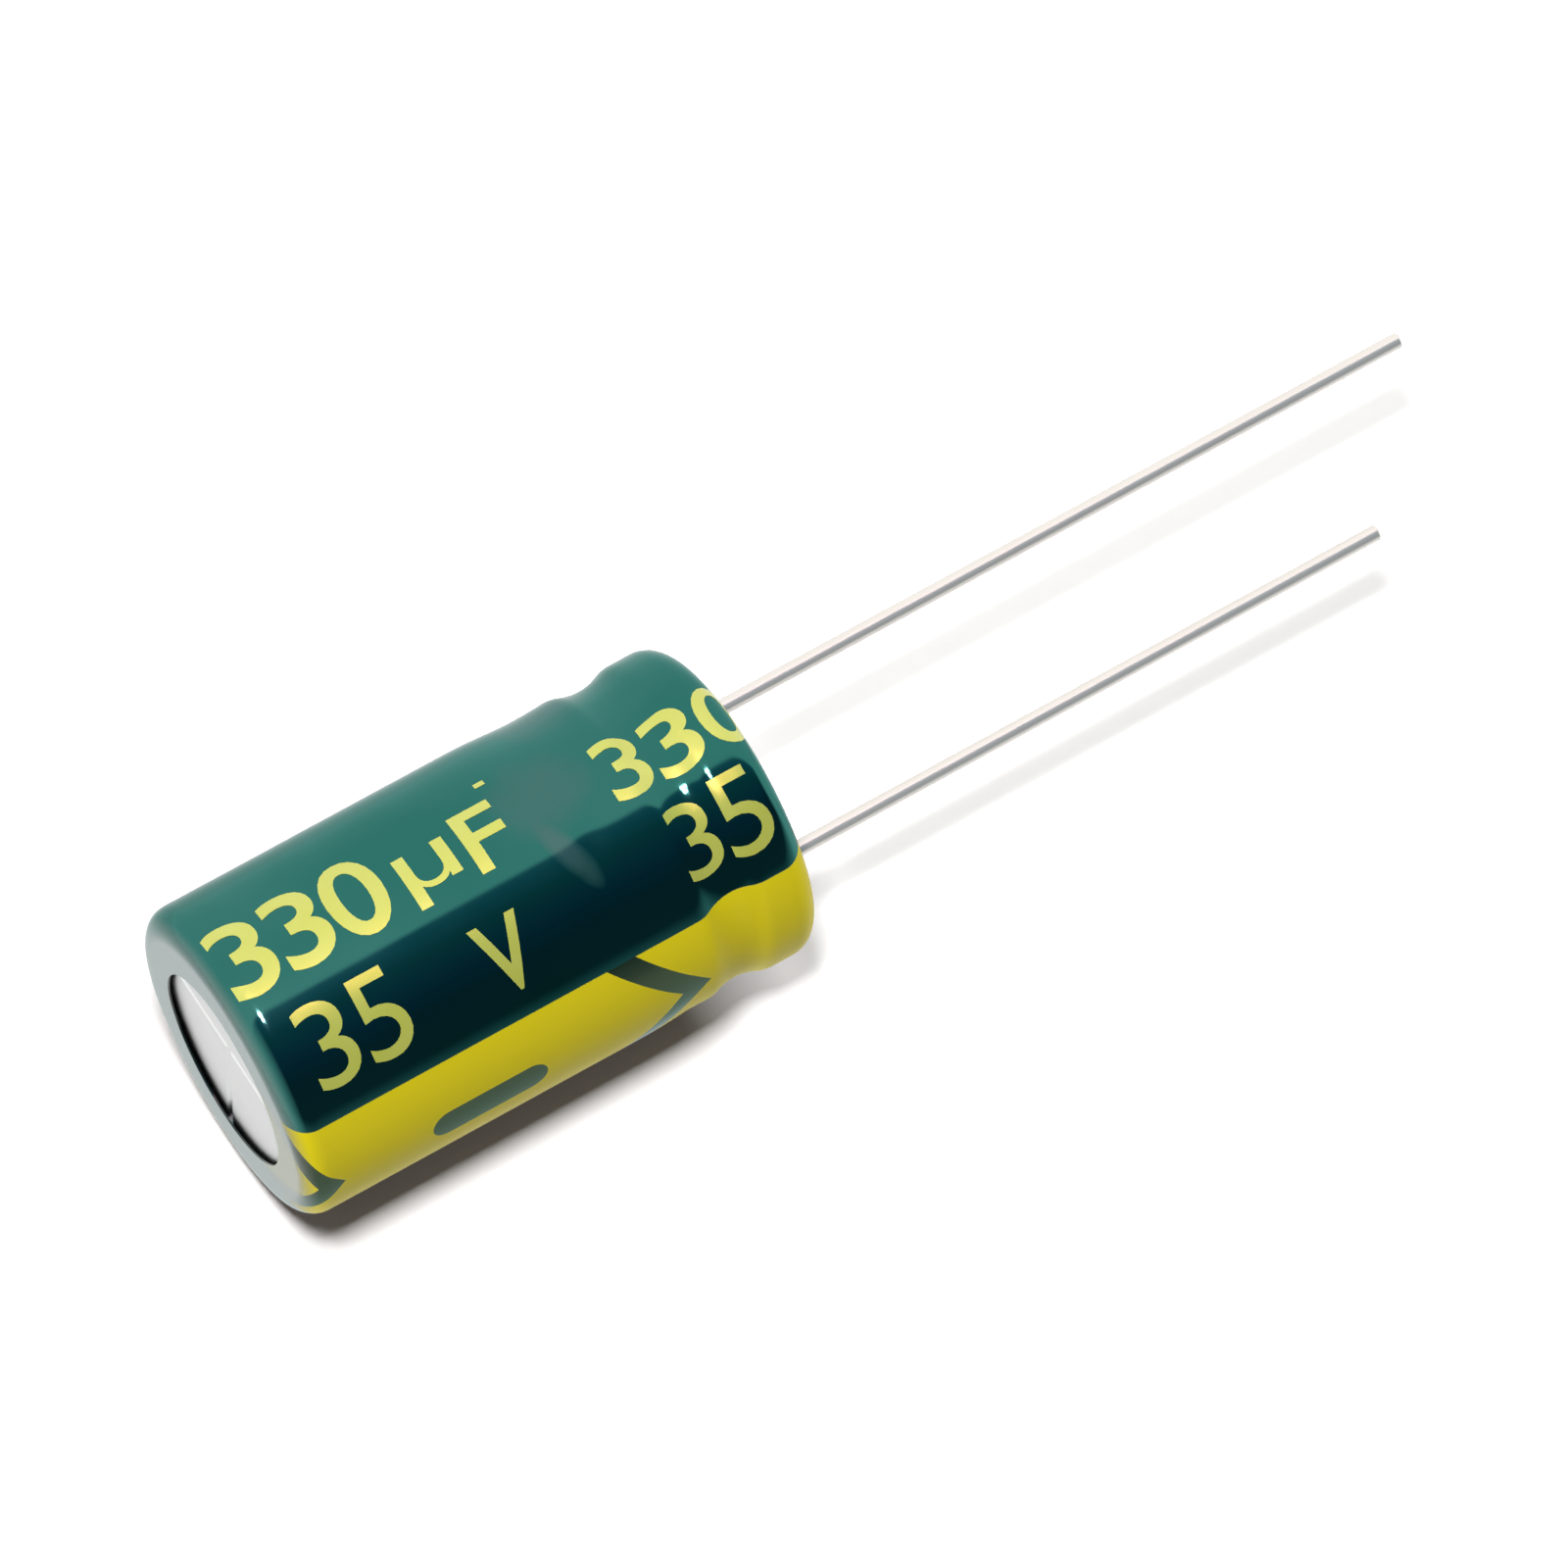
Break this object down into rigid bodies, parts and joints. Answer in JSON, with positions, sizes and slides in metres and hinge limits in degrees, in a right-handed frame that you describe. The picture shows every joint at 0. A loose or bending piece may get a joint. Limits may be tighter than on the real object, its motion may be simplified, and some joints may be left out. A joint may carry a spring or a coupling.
{
  "type": "electrolytic capacitor",
  "caption": "Radial aluminium electrolytic capacitor: green sleeved can with a yellow polarity stripe, rubber bung and long straight wire leads.",
  "frame": {"origin": "centre of the bottom of the closed end, on the axis of the can", "axes": "+Z along the axis of the can, from the closed end to the leads; +X from the positive lead to the negative lead"},
  "size_m": [0.0104, 0.0104, 0.0434],
  "materials": {
    "sleeve_film": "dark green shrink film with a glossy face and a yellow printed stripe",
    "can_aluminium": "bright drawn aluminium",
    "bung_rubber": "matte moulded rubber",
    "element_paper": "soaked separator paper around etched foil",
    "tape_film": "adhesive film tape",
    "tab_aluminium": "pressed aluminium",
    "lead_tin": "bright tinned wire"
  },
  "bodies": {
    "root": {"sleeve": "sleeve_film", "can": "can_aluminium", "rubber_bung": "bung_rubber", "wound_element": "element_paper", "element_tape": "tape_film", "positive_tab": "tab_aluminium", "negative_tab": "tab_aluminium", "positive_lead": "lead_tin", "negative_lead": "lead_tin"}
  },
  "joints": []
}
